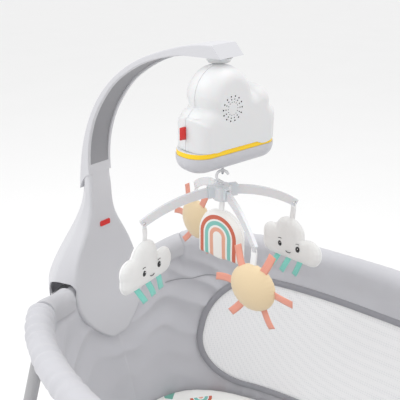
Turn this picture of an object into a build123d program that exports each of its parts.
from build123d import *
import os
from math import atan2, cos, degrees, hypot, pi, radians, sin, tan

# Swaying bassinet with an overhead arm, a cloud soother and a toy mobile. Millimetres, +Z up.
# The origin is on the floor under the basket's centre. The head end is at -X and the foot end at +X.

# ---- basket rim and body ----
RIM_HALF_LENGTH = 424.0
RIM_HALF_WIDTH = 250.0
RIM_POWER = 2.6              # exponent of the superellipse that the rim follows in plan
RIM_Z = 665.0
RIM_TUBE_RADIUS = 9.5
TUBE_WALL = 1.2
RIM_DIP = 28.0               # the rim drops this far where it enters the end housings
DIP_START_Y = 170.0
DIP_END_Y = 88.0
SLEEVE_START_Y = 80.0
SLEEVE_END_Y = 150.0
PAD_INNER_RADIUS = 11.8
PAD_RADIUS = 15.0
WALL_SLOPE = 0.26            # inward lean of the basket walls, per millimetre of depth
WALL_THICKNESS = 5.0
WALL_FACETS = 24             # straight facets in each half of the wall's plan
BASKET_DEPTH = 290.0
BOARD_THICKNESS = 6.0
MATTRESS_THICKNESS = 26.0
WINDOW_HALF_LENGTH = 372.0
WINDOW_TOP_DROP = 62.0
WINDOW_BOTTOM_DROP = 268.0
WINDOW_CORNER_RADIUS = 95.0
HOUSING_GAP_Y = 88.0
HOUSING_GAP_DEPTH = 124.0

# ---- stand ----
LEG_RADIUS = 11.1
LEG_BEND_RADIUS = 55.0
LEG_PLANE_X = 480.0
LEG_SPLAY = 20.0             # degrees from vertical
PIVOT_Z = 605.0
ARCH_CORNER_Y = 65.0
STRETCHER_RADIUS = 9.5
STRETCHER_Z = 110.0
FOOT_CAP_LENGTH = 80.0
FOOT_CAP_WIDTH = 34.0
FOOT_CAP_HEIGHT = 30.0
AXLE_RADIUS = 6.0
AXLE_CLEARANCE = 0.05
HUB_WIDTH = 52.0
HUB_HEIGHT = 46.0
HUB_DEPTH = 34.0
LOCK_PIN_RADIUS = 3.0
LOCK_PIN_OFFSET = 17.0       # height of the lock pin above the pivot axle

# ---- head housing, arm and soother, measured from the head datum ----
HEAD_X = -420.0              # head datum: the end of the rim's plan, at rim height
SHELL_WALL = 2.5
ARCH_REAR_X, ARCH_FRONT_X = -46.0, 15.5
ARCH_TOP_Z = -8.0
ARM_WIDTH = 45.0
RECESS_WIDTH = 35.0
RECESS_DEPTH = 4.0
COVER_THICKNESS = 1.6
EDGE_RADIUS = 1.5
TONGUE_LENGTH = 62.0
SOOTHER_X = 248.0            # hanging axis of the soother and the mobile
SOOTHER_YAW = -9.0
BAND_Z = 250.5
BAND_HEIGHT = 6.0
SOOTHER_TOP_Z = 353.0
SOOTHER_BOTTOM_Z = 229.0
DOCK_HEIGHT = 5.8

# ---- mobile ----
MOBILE_REACH = 106.0
MOBILE_ANGLES = {"front": -31.0, "right": 59.0, "back": 149.0, "left": 239.0}
MOBILE_HUB_Z = 190.0
MOBILE_TIP_Z = 160.0
RING_Z = 220.5               # centre of the spindle's ring
RING_RADIUS = 5.2
HOOK_YAW = 40.0
HOOK_BOW_Z = 211.2
HOOK_BOW_RADIUS = 7.6
HOOK_WIRE_RADIUS = 1.8
TAB_LENGTH = 16.0
TAB_WIDTH = 8.0
CLEARANCE = 0.3

HEAD = Location((HEAD_X, 0, RIM_Z))
SOOTHER = HEAD * Location((SOOTHER_X, 0, 0), (0, 0, SOOTHER_YAW))
MOBILE = HEAD * Location((SOOTHER_X, 0, 0))


# ---------------------------------------------------------------- helpers

def superellipse(half_length, half_width, angle):
    """A point of the rim's plan curve; the angle is in degrees from +X."""
    c, s = cos(radians(angle)), sin(radians(angle))
    power = 2 / RIM_POWER
    x = half_length * abs(c) ** power * (1 if c >= 0 else -1)
    y = half_width * abs(s) ** power * (1 if s >= 0 else -1)
    return x, y


def rim_drop(x, y):
    """How far the rim lies below its usual height, near the two end housings."""
    if abs(x) < RIM_HALF_LENGTH / 2:
        return 0.0
    share = (DIP_START_Y - abs(y)) / (DIP_START_Y - DIP_END_Y)
    share = min(max(share, 0.0), 1.0)
    return RIM_DIP * share * share * (3 - 2 * share)


def rim_points(start_angle, end_angle, count):
    """Points along the rim tube's centreline between two plan angles."""
    points = []
    for step in range(count + 1):
        angle = start_angle + (end_angle - start_angle) * step / count
        x, y = superellipse(RIM_HALF_LENGTH, RIM_HALF_WIDTH, angle)
        points.append(Vector(x, y, RIM_Z - rim_drop(x, y)))
    return points


def smooth_path(points):
    """Straight runs joined by tangent arcs, each as large as its two runs allow."""
    radii = []
    for before, corner, after in zip(points, points[1:], points[2:]):
        turn = radians((corner - before).get_angle(after - corner))
        run = min((corner - before).length, (after - corner).length)
        radii.append(0.45 * run / tan(turn / 2))
    return FilletPolyline(*points, radius=radii)


def swept_tube(path, outer_radius, inner_radius=0.0):
    """A round tube, or a rod if it has no inner radius, along a path."""
    section = Circle(outer_radius)
    if inner_radius > 0:
        section -= Circle(inner_radius)
    return sweep(Plane(origin=path @ 0, z_dir=path % 0) * section, path=path)


def cylinder_between(start, end, radius):
    """A cylinder from one point to another."""
    start, end = Vector(*start), Vector(*end)
    plane = Plane(origin=start, z_dir=(end - start).normalized())
    return extrude(plane * Circle(radius), (end - start).length)


def profile_y(outline, width):
    """A closed outline in the XZ plane, given thickness across Y about the centre plane."""
    return extrude(make_face(outline), width / 2, both=True)


def shifted(points, distance):
    """A row of XZ points moved sideways to its left, square to its own direction."""
    moved = []
    for index, (x, z) in enumerate(points):
        before = points[max(index - 1, 0)]
        after = points[min(index + 1, len(points) - 1)]
        dx, dz = after[0] - before[0], after[1] - before[1]
        length = hypot(dx, dz)
        moved.append((x - dz / length * distance, z + dx / length * distance))
    return moved


def rounded_notches(face, radius):
    """The outline with its inward corners rounded."""
    grown = offset(face, amount=radius, kind=Kind.ARC)
    return offset(grown, amount=-radius, kind=Kind.ARC)


def in_xz(points, y=0.0):
    return [Vector(x, y, z) for x, z in points]


def both_ends(part):
    """The part at the head end and its mirror image at the foot end."""
    return [part, mirror(part, about=Plane.YZ)]


def save(name, *solids):
    """Write one node; several solids make a group."""
    flat = [solid for item in solids for solid in item.solids()]
    shape = flat[0] if len(flat) == 1 else Compound(children=flat)
    export_step(shape, f"parts/{name}.step")
    return name


# ---------------------------------------------------------------- stand

def leg_arch():
    """One bent tube: two splayed legs joined by a short level top, at the head end."""
    foot_z = FOOT_CAP_HEIGHT - 12
    spread = ARCH_CORNER_Y + (PIVOT_Z - foot_z) * tan(radians(LEG_SPLAY))
    x = -LEG_PLANE_X
    path = FilletPolyline((x, -spread, foot_z), (x, -ARCH_CORNER_Y, PIVOT_Z), (x, ARCH_CORNER_Y, PIVOT_Z),
                          (x, spread, foot_z), radius=LEG_BEND_RADIUS)
    tube = swept_tube(path, LEG_RADIUS, LEG_RADIUS - TUBE_WALL)
    return tube - cylinder_between((x - 30, 0, PIVOT_Z), (x + 30, 0, PIVOT_Z), AXLE_RADIUS)


def leg_y(z):
    """Distance of a leg's centreline from the centre plane at a height on its straight run."""
    return ARCH_CORNER_Y + (PIVOT_Z - z) * tan(radians(LEG_SPLAY))


def foot_caps():
    """Moulded floor pads that close the four leg ends and stand flat on the floor."""
    caps = []
    for side in (-1, 1):
        cap = Box(FOOT_CAP_LENGTH, FOOT_CAP_WIDTH, FOOT_CAP_HEIGHT)
        cap = fillet(cap.edges().filter_by(Axis.Z), 12)
        cap = fillet(cap.faces().sort_by(Axis.Z)[-1].edges(), 5)
        cap = Pos(-LEG_PLANE_X, side * leg_y(FOOT_CAP_HEIGHT / 2), FOOT_CAP_HEIGHT / 2) * cap
        low = (-LEG_PLANE_X, side * leg_y(FOOT_CAP_HEIGHT - 12), FOOT_CAP_HEIGHT - 12)
        high = (-LEG_PLANE_X, side * leg_y(80), 80)
        caps.append(cap - cylinder_between(low, high, LEG_RADIUS))
    return [solid for cap in caps for solid in both_ends(cap)]


def stretchers():
    """The two lengthwise tubes that tie the leg arches together near the floor."""
    tubes = []
    reach = LEG_PLANE_X - LEG_RADIUS - CLEARANCE
    for side in (-1, 1):
        path = Line((-reach, side * leg_y(STRETCHER_Z), STRETCHER_Z), (reach, side * leg_y(STRETCHER_Z), STRETCHER_Z))
        tubes.append(swept_tube(path, STRETCHER_RADIUS, STRETCHER_RADIUS - TUBE_WALL))
    return tubes


def stretcher_bolts():
    """Domed bolts through the legs into the stretcher ends."""
    bolts = []
    for side in (-1, 1):
        y = side * leg_y(STRETCHER_Z)
        outer_x = -LEG_PLANE_X - LEG_RADIUS - CLEARANCE
        head = cylinder_between((outer_x - 4, y, STRETCHER_Z), (outer_x, y, STRETCHER_Z), 7)
        bolts.append(fillet(head.faces().sort_by(Axis.X)[0].edges(), 2.5))
    return [solid for bolt in bolts for solid in both_ends(bolt)]


def leg_hub():
    """The block clamped on the level top of an arch; it carries the axle, and the brake presses on it."""
    hub = Box(HUB_DEPTH, HUB_WIDTH, HUB_HEIGHT)
    hub = fillet(hub.edges().filter_by(Axis.X), 12)
    hub = fillet(hub.faces().sort_by(Axis.X)[-1].edges(), 2)
    hub = Pos(-LEG_PLANE_X, 0, PIVOT_Z) * hub
    hub -= cylinder_between((-LEG_PLANE_X, -HUB_WIDTH, PIVOT_Z), (-LEG_PLANE_X, HUB_WIDTH, PIVOT_Z), LEG_RADIUS)
    hub -= cylinder_between((-LEG_PLANE_X - 40, 0, PIVOT_Z), (-LEG_PLANE_X + 40, 0, PIVOT_Z), AXLE_RADIUS)
    return hub


def axle():
    """The steel pin on which one end of the basket sways."""
    pin = cylinder_between((-LEG_PLANE_X - 22, 0, PIVOT_Z), (-LEG_PLANE_X + 76, 0, PIVOT_Z), AXLE_RADIUS)
    head = cylinder_between((-LEG_PLANE_X - 22, 0, PIVOT_Z), (-LEG_PLANE_X - 17.2, 0, PIVOT_Z), AXLE_RADIUS + 3)
    return pin + head


# ---------------------------------------------------------------- end housings

# Rows of: height, front face X, front half width, side X, side half width, rear X; from the head datum.
HEAD_SECTIONS = [
    (170, 12, 22, 0, 22.5, -13),
    (141, 12, 22, 0, 22.5, -14),
    (115, 12, 22.5, -2, 24.5, -21),
    (88, 12, 28, -8, 32, -31),
    (58, 12, 42, -14, 49, -45),
    (28, 12, 56, -22, 66, -60),
    (-2, 14, 65, -28, 79, -75),
    (-32, 19, 71, -32, 84, -87),
    (-60, 26, 67, -34, 79, -90),
    (-88, 32, 51, -32, 61, -86),
    (-108, 34.5, 33, -28, 40, -78),
    (-120, 35.5, 15, -24, 19, -66),
]
FOOT_SECTIONS = [
    (16, 12, 30, -22, 38, -58),
    (2, 13, 50, -28, 62, -74),
    (-32, 19, 63, -32, 76, -87),
    (-60, 26, 60, -34, 72, -90),
    (-88, 32, 47, -32, 56, -86),
    (-108, 34.5, 31, -28, 37, -78),
    (-120, 35.5, 15, -24, 19, -66),
]
# The seam that parts the head housing's front shell from its rear shell, front to back and downwards.
HEAD_SEAM = [(5, 131), (-6, 111), (-20, 69), (-33, 30), (-44, -8), (-50, -50)]
# The joint line between the neck and the arm, front to back.
NECK_JOINT = [(12, 163), (5, 160), (-4, 151), (-13, 136)]


def housing_section(row, inset, front_radius=7.0):
    """One level slice of a housing: a flat front, flared sides and a rounded back."""
    z, x_front, w_front, x_side, w_side, x_rear = row
    x_front, x_rear = x_front - inset, x_rear + inset
    w_front, w_side = w_front - inset, w_side - inset
    w_rear = 0.55 * w_side
    outline = Polyline((x_front, -w_front, z), (x_front, w_front, z), (x_side, w_side, z), (x_rear, w_rear, z),
                       (x_rear, -w_rear, z), (x_side, -w_side, z), close=True)
    face = make_face(outline)
    by_x = face.vertices().sort_by(Axis.X)
    side_radius = 0.35 * min(w_side, x_front - x_rear)
    face = fillet(by_x[:2], 0.9 * min(w_rear, (x_side - x_rear)) * 0.8)
    face = fillet(face.vertices().filter_by(lambda v: abs(abs(v.Y) - w_side) < 0.01), side_radius * 0.6)
    return fillet(face.vertices().sort_by(Axis.X)[-2:], min(front_radius, 0.25 * w_front))


def housing_solid(sections, inset=0.0):
    """The closed outer form of a housing, or its cavity if it is inset by the wall."""
    return loft([housing_section(row, inset) for row in sections])


def front_region(seam, top):
    """Everything in front of a housing's seam and below its top joint."""
    side = Spline(*in_xz(seam))
    outline = side + Polyline(*in_xz([seam[-1], (seam[-1][0], -200), (90, -200), (90, top), (12, top - 4), seam[0]]))
    return profile_y(outline, 260)


def rim_arch_cuts():
    """The arched openings low on both sides, where the rim comes out in its sleeves."""
    cut = Box(ARCH_FRONT_X - ARCH_REAR_X, 70, 90)
    cut = fillet(cut.edges().filter_by(Axis.Y).group_by(Axis.Z)[-1].sort_by(Axis.X)[0], 30)
    cut = fillet(cut.edges().filter_by(Axis.Y).group_by(Axis.Z)[-1].sort_by(Axis.X)[-1], 13)
    return [Pos((ARCH_FRONT_X + ARCH_REAR_X) / 2, side * 92, ARCH_TOP_Z - 45) * cut for side in (-1, 1)]


def leg_slots():
    """Slots in the back half that the legs come out of, with room for the sway."""
    slot = fillet(Box(34, 90, 110).edges().filter_by(Axis.Y).group_by(Axis.Z)[-1], 10)
    return [Pos(-60, side * 76, -46 - 55) * slot for side in (-1, 1)]


def axle_boss():
    """The boss behind the front wall that holds the axle's bush."""
    z = PIVOT_Z - RIM_Z
    boss = cylinder_between((-22, 0, z), (28, 0, z), 13)
    return boss, cylinder_between((-30, 0, z), (20, 0, z), AXLE_RADIUS + 3)


def head_shells():
    """Front and rear shells of the teardrop head housing; the rear one carries the neck."""
    outer = housing_solid(HEAD_SECTIONS)
    inner_rows = [(z if z < 170 else 180, *rest) for z, *rest in HEAD_SECTIONS]
    inner_rows[-1] = (-117.5, *HEAD_SECTIONS[-1][1:])
    inner = housing_solid(inner_rows, SHELL_WALL)
    joint = Spline(*in_xz(NECK_JOINT)) + Polyline(*in_xz([NECK_JOINT[-1], (-60, 130), (-60, 220), (60, 220), (60, 163),
                                                          NECK_JOINT[0]]))
    above_neck = profile_y(joint, 200)
    front_part = front_region(HEAD_SEAM, 141)
    boss, bore = axle_boss()
    hollow = outer - inner - above_neck
    front = (hollow + (boss & outer)) & front_part
    front -= bore
    rear = hollow - front_part
    for cut in rim_arch_cuts():
        front -= cut
        rear -= cut
    for cut in leg_slots():
        front -= cut
        rear -= cut
    button_hole = Pos(-14, 0, 118) * Box(24, 15, 19)
    return front, rear - button_hole


def foot_shells():
    """Inner and outer covers of the smaller foot housing."""
    outer = housing_solid(FOOT_SECTIONS)
    inner_rows = [(13.5, *FOOT_SECTIONS[0][1:])] + FOOT_SECTIONS[1:-1] + [(-117.5, *FOOT_SECTIONS[-1][1:])]
    inner = housing_solid(inner_rows, SHELL_WALL)
    seam = [(-50, 60), (-50, -20), (-50, -200)]
    front_part = profile_y(Polyline(*in_xz([*seam, (90, -200), (90, 60)]), close=True), 260)
    boss, bore = axle_boss()
    hollow = outer - inner
    front = ((hollow + (boss & outer)) & front_part) - bore
    rear = hollow - front_part
    for cut in rim_arch_cuts() + leg_slots():
        front -= cut
        rear -= cut
    lock_z = PIVOT_Z - RIM_Z + LOCK_PIN_OFFSET
    rear -= cylinder_between((-120, 0, lock_z), (-60, 0, lock_z), LOCK_PIN_RADIUS + 0.4)
    place = Location((-HEAD_X, 0, RIM_Z), (0, 0, 180))
    return place * front, place * rear


def lock_knob():
    """Push knob behind the foot housing; its pin presses on the leg hub and holds the basket still."""
    z = PIVOT_Z - RIM_Z + LOCK_PIN_OFFSET
    knob = cylinder_between((-111, 0, z), (-102, 0, z), 11)
    knob = fillet(knob.faces().sort_by(Axis.X)[0].edges(), 3)
    pin = cylinder_between((-103, 0, z), (-80, 0, z), LOCK_PIN_RADIUS)
    return Location((-HEAD_X, 0, RIM_Z), (0, 0, 180)) * (knob + pin)


def axle_bushes():
    """Plain bushes pressed into the two housings."""
    z = PIVOT_Z - RIM_Z
    bush = cylinder_between((-22, 0, z), (19.5, 0, z), AXLE_RADIUS + 3)
    bush -= cylinder_between((-22, 0, z), (19.5, 0, z), AXLE_RADIUS + AXLE_CLEARANCE)
    flange = cylinder_between((-24, 0, z), (-22, 0, z), 12)
    flange -= cylinder_between((-24, 0, z), (-22, 0, z), AXLE_RADIUS + AXLE_CLEARANCE)
    return both_ends(HEAD * (bush + flange))


def badge_plate():
    """The small plain plate on the front shell."""
    plate = extrude(Plane.YZ.offset(12.05) * fillet(Rectangle(20, 8.5).vertices(), 2), 1.4)
    return HEAD * (Pos(0, 2, 77) * plate)


def housing_screws():
    """Pan-head screws that close the head and foot housings from behind."""
    screws = []
    for x, y, z in ((-33.5, 0, 88), (-87.5, 22, -30), (-87.5, -22, -30)):
        head = cylinder_between((x - 3.4, y, z), (x, y, z), 3.6)
        screws.append(HEAD * head)
    return screws


# ---------------------------------------------------------------- basket

def oval(drop, inset):
    """The basket's plan at a depth below the rim, moved inwards by an inset."""
    lean = WALL_SLOPE * drop + inset
    corners = [Vector(*superellipse(RIM_HALF_LENGTH - lean, RIM_HALF_WIDTH - lean, 180 * step / WALL_FACETS),
                      RIM_Z - drop)
               for step in range(2 * WALL_FACETS)]
    return make_face(Polyline(*corners, close=True))


def half_wall(start_angle):
    """Half of the tapered wall, from one plan angle to the opposite one."""
    forms = []
    for inset in (0, WALL_THICKNESS):
        faces = []
        for drop in (PAD_RADIUS + 3, BASKET_DEPTH):
            lean = WALL_SLOPE * drop + inset
            corners = [Vector(*superellipse(RIM_HALF_LENGTH - lean, RIM_HALF_WIDTH - lean,
                                            start_angle + 180 * step / WALL_FACETS), RIM_Z - drop)
                       for step in range(WALL_FACETS + 1)]
            faces.append(make_face(Polyline(*corners, close=True)))
        forms.append(loft(faces, ruled=True))
    return forms[0] - forms[1]


def end_gap():
    """The gap in an end wall that the head or foot housing fills, with the rim's dip beside it."""
    gap = Pos(0, 0, RIM_Z - 60) * Box(160, 2 * HOUSING_GAP_Y, 2 * (HOUSING_GAP_DEPTH - 60))
    dip = Pos(0, 0, RIM_Z) * Box(160, 2 * DIP_START_Y + 10, 2 * (RIM_DIP + PAD_RADIUS + 4))
    return [Pos(side * (RIM_HALF_LENGTH - 20), 0, 0) * (gap + dip) for side in (-1, 1)]


def basket_walls():
    """Head and foot halves of the fabric wall, and the two mesh windows in its sides."""
    height = WINDOW_BOTTOM_DROP - WINDOW_TOP_DROP
    frame = fillet(Box(2 * WINDOW_HALF_LENGTH, 300, height).edges().filter_by(Axis.Y), WINDOW_CORNER_RADIUS)
    near_frame, far_frame = [Pos(0, side * 210, RIM_Z - WINDOW_TOP_DROP - height / 2) * frame for side in (-1, 1)]
    ends = []
    for start_angle, gap in zip((90, -90), end_gap()):
        ends.append(half_wall(start_angle) - gap - near_frame - far_frame)
    return ends[0], ends[1], half_wall(180) & near_frame, half_wall(0) & far_frame


def basket_floor():
    """The fabric floor of the basket, the board on it and the mattress pad."""
    top = RIM_Z - BASKET_DEPTH
    lean = WALL_THICKNESS + 2 * CLEARANCE

    def slab(z_low, z_high, inset):
        return loft([oval(RIM_Z - z_low, inset), oval(RIM_Z - z_high, inset)], ruled=True)

    panel = slab(top - 3 - CLEARANCE, top - CLEARANCE, 0)
    board = slab(top + CLEARANCE, top + BOARD_THICKNESS, lean)
    pad_low = top + BOARD_THICKNESS + CLEARANCE
    pad = slab(pad_low, pad_low + MATTRESS_THICKNESS, lean + 2)
    return panel, board, pad


def rim_tubes():
    """The two halves of the rim tube, which meet at the middle of the long sides."""
    tube = swept_tube(smooth_path(rim_points(90, 270, 20)), RIM_TUBE_RADIUS, RIM_TUBE_RADIUS - TUBE_WALL)
    tube -= Pos(40 - CLEARANCE, 0, RIM_Z) * Box(80, 4 * RIM_HALF_WIDTH, 60)
    return both_ends(tube)


def plan_angle(y):
    """Plan angle at which the rim's foot end is this far from the centre plane, in degrees."""
    s = (y / RIM_HALF_WIDTH) ** (RIM_POWER / 2)
    return degrees(atan2(s, (1 - s * s) ** 0.5))


def rim_pads():
    """Padded fabric rolls around the rim, between the sleeves of the two ends."""
    start = plan_angle(SLEEVE_END_Y - 2)
    near = swept_tube(smooth_path(rim_points(180 + start, 360 - start, 20)), PAD_RADIUS, PAD_INNER_RADIUS)
    return [near, mirror(near, about=Plane.XZ)]


def sleeve_section(path):
    """A saddle over the rim: a half tube with a flap down the basket's side of it."""
    start = path @ 0
    inner = PAD_RADIUS + 0.6
    outer = inner + 2.2
    arc = Circle(outer) - Circle(inner)
    arc -= Pos(0, -outer) * Rectangle(4 * outer, 2 * outer)
    skirt = Pos(0, -7) * (Rectangle(2 * outer, 14) - Rectangle(2 * inner, 14))
    tangent = path % 0
    side = Vector(0, 0, 1).cross(tangent).normalized()
    return Plane(origin=start, x_dir=side, z_dir=tangent) * (arc + skirt)


def saddle_sleeves():
    """Moulded covers over the rim, from inside each housing to where the padding starts."""
    first = plan_angle(SLEEVE_START_Y)
    last = plan_angle(SLEEVE_END_Y)
    path = smooth_path(rim_points(180 + first, 180 + last, 4))
    sleeve = sweep(sleeve_section(path), path=path)
    return [sleeve, mirror(sleeve, about=Plane.XZ), mirror(sleeve, about=Plane.YZ), Rot(0, 0, 180) * sleeve]


# ---------------------------------------------------------------- arm

ARM_OUTER = [(-13, 136), (-5, 184), (6, 221), (22, 255), (41, 283), (66, 309), (96, 331), (131, 349), (169, 362),
             (204, 371), (235, 375)]
ARM_INNER = [(12, 163), (19, 222), (34, 257), (53, 284), (77, 309), (100, 325), (131, 341), (169, 353),
             (205, 359.5)]
ARM_TIP = [(247, 375), (260, 360.5)]


def arm_channel():
    """The curved arm with its head and its tongue; its underside has a long shallow recess."""
    outline = Spline(*in_xz(ARM_OUTER)) + Polyline(*in_xz([ARM_OUTER[-1], *ARM_TIP, ARM_INNER[-1]]))
    outline += Spline(*in_xz(ARM_INNER[::-1])) + Spline(*in_xz(NECK_JOINT))
    arm = profile_y(outline, ARM_WIDTH)
    arm = fillet(arm.faces().filter_by(Axis.Y).edges().filter_by(lambda e: e.length > 150), EDGE_RADIUS)
    recess = profile_y(recess_outline(-2, RECESS_DEPTH), RECESS_WIDTH)
    tongue = Pos(0, 0, 162 - TONGUE_LENGTH / 2 - 14) * Box(11, 30, TONGUE_LENGTH)
    tongue = Pos(1, 0, 0) * fillet(tongue.edges().filter_by(Axis.Z), 2)
    return HEAD * (arm - recess + tongue)


def recess_outline(low, high):
    """A strip that follows the arm's inner curve, between two depths."""
    run = ARM_INNER[:8]
    run[0] = (14.5, 178)
    below, above = shifted(run, low), shifted(run, high)
    return Spline(*in_xz(below)) + Line(Vector(below[-1][0], 0, below[-1][1]), Vector(above[-1][0], 0, above[-1][1])) \
        + Spline(*in_xz(above[::-1])) + Line(Vector(above[0][0], 0, above[0][1]), Vector(below[0][0], 0, below[0][1]))


def arm_inner_cover():
    """The thin cover strip at the bottom of the arm's recess."""
    return HEAD * profile_y(recess_outline(RECESS_DEPTH - COVER_THICKNESS, RECESS_DEPTH - 0.1), RECESS_WIDTH - 0.6)


def dock_collar():
    """The swivel dock under the arm's head."""
    collar = Cone(13, 17, DOCK_HEIGHT, align=(Align.CENTER, Align.CENTER, Align.MIN))
    return MOBILE * (Pos(-8, 0, SOOTHER_TOP_Z + CLEARANCE) * collar)


def release_button():
    """Push button in the back of the neck that frees the arm's tongue."""
    face = fillet(Box(8, 13.4, 17.4).edges().filter_by(Axis.X), 3)
    face = fillet(face.faces().sort_by(Axis.X)[0].edges(), 1.2)
    return HEAD * (Pos(-19.5, 0, 118) * face)


# ---------------------------------------------------------------- soother

# Circles of the cloud's outline: offset along Y from the hanging axis, height, radius.
CLOUD_LOBES = [(-33, 283, 27), (-8, 315, 38), (46, 280, 27), (42, 305, 20)]
NOTCH_RADIUS = 6.0
BODY_FRONT, BODY_BACK = 28.0, -28.0
BASE_HALF_WIDTH = 71.0
BASE_OFFSET = 5.0            # the base's centre along Y, from the hanging axis
SPEAKER_Y, SPEAKER_Z = -11.0, 305.0


def cloud_outline(grow, x):
    """The cloud's outline as a face in a plane square to X."""
    face = None
    for y, z, radius in CLOUD_LOBES:
        lobe = Pos(y, z) * Circle(radius + grow)
        face = lobe if face is None else face + lobe
    left = CLOUD_LOBES[0][0] - CLOUD_LOBES[0][2] - grow
    right = CLOUD_LOBES[2][0] + CLOUD_LOBES[2][2] + grow
    low = BAND_Z + BAND_HEIGHT
    skirt = Pos((left + right) / 2, (low + 283) / 2) * Rectangle(right - left, 283 - low)
    below = Pos(0, low - 60) * Rectangle(300, 120)
    outline = rounded_notches(face + skirt - below, NOTCH_RADIUS)
    return Plane(origin=(x, 0, 0), x_dir=(0, 1, 0), z_dir=(1, 0, 0)) * outline


def cloud_shell(x_from, x_to):
    """Half of the cloud's casing: a hollow cup that is open towards the other half."""
    direction = 1 if x_to > x_from else -1
    outer = extrude(cloud_outline(0, x_from), x_to - x_from)
    outer = fillet(outer.faces().sort_by(Axis.X)[-1 if direction > 0 else 0].edges(), 9)
    inner = extrude(cloud_outline(-SHELL_WALL, x_from - direction), x_to - x_from - direction * (SHELL_WALL - 1))
    return outer - inner


def speaker_holes():
    """Three rings of small holes in the cloud's front; the outer ring's are the largest."""
    holes = []
    for ring_radius, hole_radius in ((7.5, 0.5), (11.0, 0.75), (15.0, 1.05)):
        for index in range(14):
            angle = 2 * pi * index / 14
            y, z = SPEAKER_Y + ring_radius * cos(angle), SPEAKER_Z + ring_radius * sin(angle)
            holes.append(cylinder_between((BODY_FRONT - 6, y, z), (BODY_FRONT + 2, y, z), hole_radius))
    return holes


BUTTONS = {"power_button": (-26, 296), "music_button": (14, 296)}
BUTTON_RADIUS = 8.0
BATTERY_DOOR = (4, 270, 60, 20)     # offset, height, width and height of the door


def cloud_front_shell():
    shell = cloud_shell(0.0, BODY_FRONT)
    for hole in speaker_holes():
        shell -= hole
    return SOOTHER * shell


def cloud_back_shell():
    shell = cloud_shell(-0.2, BODY_BACK)
    for y, z in BUTTONS.values():
        shell -= cylinder_between((BODY_BACK - 2, y, z), (BODY_BACK + 5, y, z), BUTTON_RADIUS + 0.3)
    y, z, width, height = BATTERY_DOOR
    return SOOTHER * (shell - Pos(BODY_BACK, y, z) * Box(8, width + 0.6, height + 0.6))


def battery_door():
    y, z, width, height = BATTERY_DOOR
    return SOOTHER * (Pos(BODY_BACK + 1.3, y, z) * Box(2, width, height))


def push_button(name):
    """A round button that stands out of the back shell, with a retaining flange inside."""
    y, z = BUTTONS[name]
    stem = cylinder_between((BODY_BACK - 1.8, y, z), (BODY_BACK + 5, y, z), BUTTON_RADIUS)
    stem = fillet(stem.faces().sort_by(Axis.X)[0].edges(), 0.8)
    flange = cylinder_between((BODY_BACK + 3, y, z), (BODY_BACK + 5, y, z), BUTTON_RADIUS + 1.5)
    return SOOTHER * (stem + flange)


def band_outline(grow):
    """Plan of the soother's band: a stadium as wide as the cloud."""
    depth = BODY_FRONT - BODY_BACK
    shape = Rectangle(depth + 2 * grow, 2 * (BASE_HALF_WIDTH + grow))
    return Pos(0, BASE_OFFSET) * fillet(shape.vertices(), depth / 2 - 3 + grow)


def light_band():
    """The translucent band between the cloud and its base."""
    ring = extrude(band_outline(-1), BAND_HEIGHT - 0.4) - extrude(band_outline(-6), BAND_HEIGHT)
    return SOOTHER * (Pos(0, 0, BAND_Z + 0.2) * ring)


def cloud_base():
    """The boat-shaped base, open at the top, with a bore for the motor's spindle."""
    height = BAND_Z - SOOTHER_BOTTOM_Z
    outer = extrude(band_outline(0), -height)
    outer = fillet(outer.faces().sort_by(Axis.Z)[0].edges(), 18)
    inner = extrude(band_outline(-SHELL_WALL), -height + SHELL_WALL)
    inner = fillet(inner.faces().sort_by(Axis.Z)[0].edges(), 16)
    base = Pos(0, 0, BAND_Z) * (outer - inner)
    base = base - cylinder_between((0, 0, SOOTHER_BOTTOM_Z - 2), (0, 0, BAND_Z), 4)
    return SOOTHER * base


def speaker():
    """A round speaker behind the front's holes."""
    y, z = SPEAKER_Y, SPEAKER_Z
    drum = cylinder_between((BODY_FRONT - 12, y, z), (BODY_FRONT - 3.5, y, z), 18)
    magnet = cylinder_between((BODY_FRONT - 20, y, z), (BODY_FRONT - 12, y, z), 9)
    return SOOTHER * (drum + magnet)


def circuit_board():
    return SOOTHER * (Pos(2, -8, 312) * Box(1.6, 50, 36))


def battery_cells():
    """Three penlight cells side by side behind the door."""
    cells = []
    for row in range(3):
        y = BATTERY_DOOR[0]
        x, z = BODY_BACK + 14.5, 266 + 14.6 * row
        cells.append(SOOTHER * cylinder_between((x, y - 24, z), (x, y + 24, z), 7))
    return cells


def gear_motor():
    """The sealed gear motor that turns the mobile."""
    motor = cylinder_between((4, 0, 238), (4, 0, 256), 14)
    return SOOTHER * (motor - cylinder_between((0, 0, 237), (0, 0, 247), 3.3))


def side_tag():
    """A plain loop of ribbon caught in the casing's seam."""
    tag = fillet(Box(2.4, 9, 15).edges().filter_by(Axis.X), 1.5)
    return SOOTHER * (Pos(-0.1, -64.6, 279) * tag)


SCREW_SPOTS = [(-42, 284), (-8, 336), (54, 284)]


def shell_screws():
    """Screws in the cloud's back."""
    return [SOOTHER * cylinder_between((BODY_BACK - 1.2, y, z), (BODY_BACK, y, z), 3) for y, z in SCREW_SPOTS]


# ---------------------------------------------------------------- mobile

def spindle():
    """The motor's output spindle, with a ring at its lower end."""
    shaft = cylinder_between((0, 0, RING_Z + 4.5), (0, 0, RING_Z + 25), 3)
    ring = Pos(0, 0, RING_Z) * Rot(0, 0, HOOK_YAW + 90) * Rot(90, 0, 0) * Torus(RING_RADIUS, 1.4)
    return MOBILE * (shaft + ring)


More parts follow.
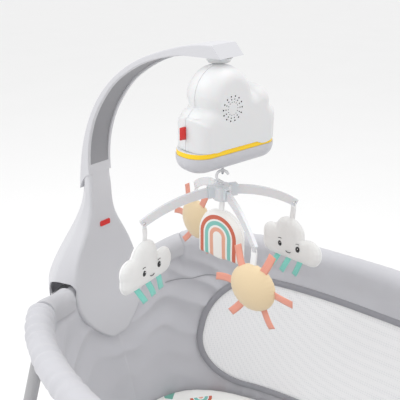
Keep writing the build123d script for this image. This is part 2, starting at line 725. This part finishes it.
def hook():
    """The wire hook that joins the mobile's hub to the spindle's ring."""
    c, s = cos(radians(HOOK_YAW)), sin(radians(HOOK_YAW))
    plane = Plane(origin=(0, 0, 0), x_dir=(c, s, 0), z_dir=(s, -c, 0))
    arc = Pos(0, 0, HOOK_BOW_Z) * (plane * CenterArc((0, 0, 0), HOOK_BOW_RADIUS, -90, -250))
    bow = sweep(Plane(origin=arc @ 0, z_dir=arc % 0) * Circle(HOOK_WIRE_RADIUS), path=arc)
    stem = cylinder_between((0, 0, MOBILE_HUB_Z + 3.2), (0, 0, HOOK_BOW_Z - HOOK_BOW_RADIUS + 0.6), HOOK_WIRE_RADIUS)
    return MOBILE * (bow + stem)


def mobile_hub():
    """The round hub with a socket for each arm."""
    body = Pos(0, 0, MOBILE_HUB_Z) * Cylinder(12.5, 20)
    body = fillet(body.edges(), 3)
    for angle in MOBILE_ANGLES.values():
        arm = Rot(0, 0, angle) * (Pos(15, 0, MOBILE_HUB_Z + 2) * Box(10, 8, 16))
        body += arm
    for angle in MOBILE_ANGLES.values():
        body -= Rot(0, 0, angle) * (Pos(16, 0, MOBILE_HUB_Z + 2) * Box(12, 4.2, 13.2))
    body -= cylinder_between((0, 0, MOBILE_HUB_Z + 3), (0, 0, MOBILE_HUB_Z + 12), HOOK_WIRE_RADIUS + 0.05)
    return MOBILE * body


def mobile_arm(name):
    """A flat curved arm that thins towards its tip, which has a hole for a toy's tab."""
    top = ThreePointArc((11, 0, MOBILE_HUB_Z + 8), (66, 0, MOBILE_HUB_Z - 3), (MOBILE_REACH + 4, 0, MOBILE_TIP_Z + 4))
    low = ThreePointArc((MOBILE_REACH - 1, 0, MOBILE_TIP_Z - 5), (62, 0, MOBILE_HUB_Z - 14), (11, 0, MOBILE_HUB_Z - 4))
    outline = top + Line(top @ 1, low @ 0) + low + Line(low @ 1, top @ 0)
    arm = profile_y(outline, 4)
    hole = cylinder_between((MOBILE_REACH - 2, -5, MOBILE_TIP_Z + 1), (MOBILE_REACH - 2, 5, MOBILE_TIP_Z + 1), 2.2)
    return MOBILE * (Rot(0, 0, MOBILE_ANGLES[name]) * (arm - hole))


def tip(name):
    """Where a toy hangs under its arm, from the hanging axis."""
    angle = radians(MOBILE_ANGLES[name])
    reach = MOBILE_REACH - 2
    return reach * cos(angle), reach * sin(angle), MOBILE_TIP_Z - 6.5


def puffed(face, thickness, radius):
    """A flat outline given thickness, with rounded edges."""
    body = extrude(face, thickness / 2, both=True)
    return fillet(body.edges().filter_by(lambda e: abs(abs(e.center().Z) - thickness / 2) < 0.01), radius)


def hang(shape, place, yaw):
    """Stand a toy, drawn in XY with its tab's top at the origin, under a point of the mobile."""
    return MOBILE * (Location(place, (0, 0, yaw)) * (Rot(90, 0, 0) * shape))


def tab():
    return Pos(0, -TAB_LENGTH / 2 - 1) * Rectangle(TAB_WIDTH, TAB_LENGTH + 2)


TOY_CLOUD_LOBES = [(-31, -33, 17), (-3, -24, 24), (32, -42, 18)]
TOY_THICKNESS = 14.0
RIBBON_WIDTH = 9.0


def toy_cloud():
    """Outline of a soft cloud, below its tab."""
    face = None
    for x, y, radius in TOY_CLOUD_LOBES:
        lobe = Pos(x, y - TAB_LENGTH) * Circle(radius)
        face = lobe if face is None else face + lobe
    face += Pos(0, -46 - TAB_LENGTH) * fillet(Rectangle(98, 28).vertices(), 12)
    return rounded_notches(face, 5)


def cloud_toy(name, yaw):
    body = puffed(toy_cloud(), TOY_THICKNESS, 4)
    strap = extrude(tab(), 0.8, both=True)
    return hang(body + strap, tip(name), yaw)


def rain_ribbons(name, yaw, lean):
    """Three short ribbons under a soft cloud."""
    ribbons = []
    for x in (-20, 0, 20):
        strip = Location((x + lean * 8, -TAB_LENGTH - 60 - 15 - CLEARANCE, 0), (0, 0, lean * 18))
        ribbons.append(hang(strip * Box(RIBBON_WIDTH, 27, 0.8), tip(name), yaw))
    return ribbons


SUN_RADIUS = 31.0
RAY_LENGTH = 24.0


def sun_toy(name, yaw):
    body = Pos(0, -TAB_LENGTH - SUN_RADIUS + 1) * puffed(Circle(SUN_RADIUS), 22, 9)
    strap = extrude(tab(), 0.8, both=True)
    return hang(body + strap, tip(name), yaw)


def sun_rays(name, yaw):
    """Six ribbon rays round a soft sun."""
    rays = []
    centre = Vector(0, -TAB_LENGTH - SUN_RADIUS + 1, 0)
    reach = SUN_RADIUS + CLEARANCE + RAY_LENGTH / 2
    for index in range(6):
        angle = 60 * index
        place = Location(centre, (0, 0, angle)) * Location((reach, 0, 0))
        rays.append(hang(place * Box(RAY_LENGTH, 10, 0.8), tip(name), yaw))
    return rays


def rainbow_toy():
    """The arched soft toy under the middle of the hub."""
    arch = Pos(0, -TAB_LENGTH - 35 + 1) * Circle(35.5)
    legs = Pos(0, -TAB_LENGTH - 34 - 17) * Rectangle(71, 34)
    body = puffed(arch + legs, 16, 5)
    strap = extrude(tab(), 0.8, both=True)
    return hang(body + strap, (0, 0, MOBILE_HUB_Z - 10.5), RAINBOW_YAW)


CLOUD_YAWS = {"left": 95.0, "right": -5.0}
SUN_YAWS = {"front": 3.0, "back": -10.0}
RAINBOW_YAW = 0.0
RIBBON_LEANS = {"left": 1, "right": -1}


# ---------------------------------------------------------------- build and save

def main():
    os.makedirs("parts", exist_ok=True)

    save("head_leg_arch", leg_arch())
    save("foot_leg_arch", mirror(leg_arch(), about=Plane.YZ))
    save("stretchers", *stretchers())
    save("foot_caps", *foot_caps())
    save("stretcher_bolts", *stretcher_bolts())
    for name, hub in zip(("head_hub", "foot_hub"), both_ends(leg_hub())):
        save(name, hub)
    save("pivot_axles", *both_ends(axle()))

    head_front, head_rear = head_shells()
    foot_inner, foot_outer = foot_shells()
    save("housing_front_shell", HEAD * head_front)
    save("housing_rear_shell", HEAD * head_rear)
    save("foot_inner_cover", foot_inner)
    save("foot_outer_cover", foot_outer)
    save("sway_lock_knob", lock_knob())
    save("axle_bushes", *axle_bushes())
    save("badge_plate", badge_plate())
    save("housing_screws", *housing_screws())

    wall_head, wall_foot, window_near, window_far = basket_walls()
    save("basket_wall_head", wall_head)
    save("basket_wall_foot", wall_foot)
    save("mesh_window_near", window_near)
    save("mesh_window_far", window_far)
    for name, layer in zip(("basket_floor", "floor_board", "mattress_pad"), basket_floor()):
        save(name, layer)
    for name, tube in zip(("rim_tube_head", "rim_tube_foot"), rim_tubes()):
        save(name, tube)
    save("rim_pads", *rim_pads())
    save("saddle_sleeves", *saddle_sleeves())

    save("arm_channel", arm_channel())
    save("arm_inner_cover", arm_inner_cover())
    save("dock_collar", dock_collar())
    save("release_button", release_button())

    save("cloud_front_shell", cloud_front_shell())
    save("cloud_back_shell", cloud_back_shell())
    save("cloud_base", cloud_base())
    save("light_band", light_band())
    save("speaker", speaker())
    save("circuit_board", circuit_board())
    save("battery_cells", *battery_cells())
    save("battery_door", battery_door())
    save("gear_motor", gear_motor())
    save("side_tag", side_tag())
    save("shell_screws", *shell_screws())
    for name in BUTTONS:
        save(name, push_button(name))

    save("spindle", spindle())
    save("hook", hook())
    save("mobile_hub", mobile_hub())
    for name in MOBILE_ANGLES:
        save(f"mobile_arm_{name}", mobile_arm(name))
    for name, yaw in CLOUD_YAWS.items():
        save(f"cloud_toy_{name}", cloud_toy(name, yaw))
        save(f"rain_ribbons_{name}", *rain_ribbons(name, yaw, RIBBON_LEANS[name]))
    for name, yaw in SUN_YAWS.items():
        save(f"sun_toy_{name}", sun_toy(name, yaw))
        save(f"sun_rays_{name}", *sun_rays(name, yaw))
    save("rainbow_toy", rainbow_toy())


if __name__ == "__main__":
    main()
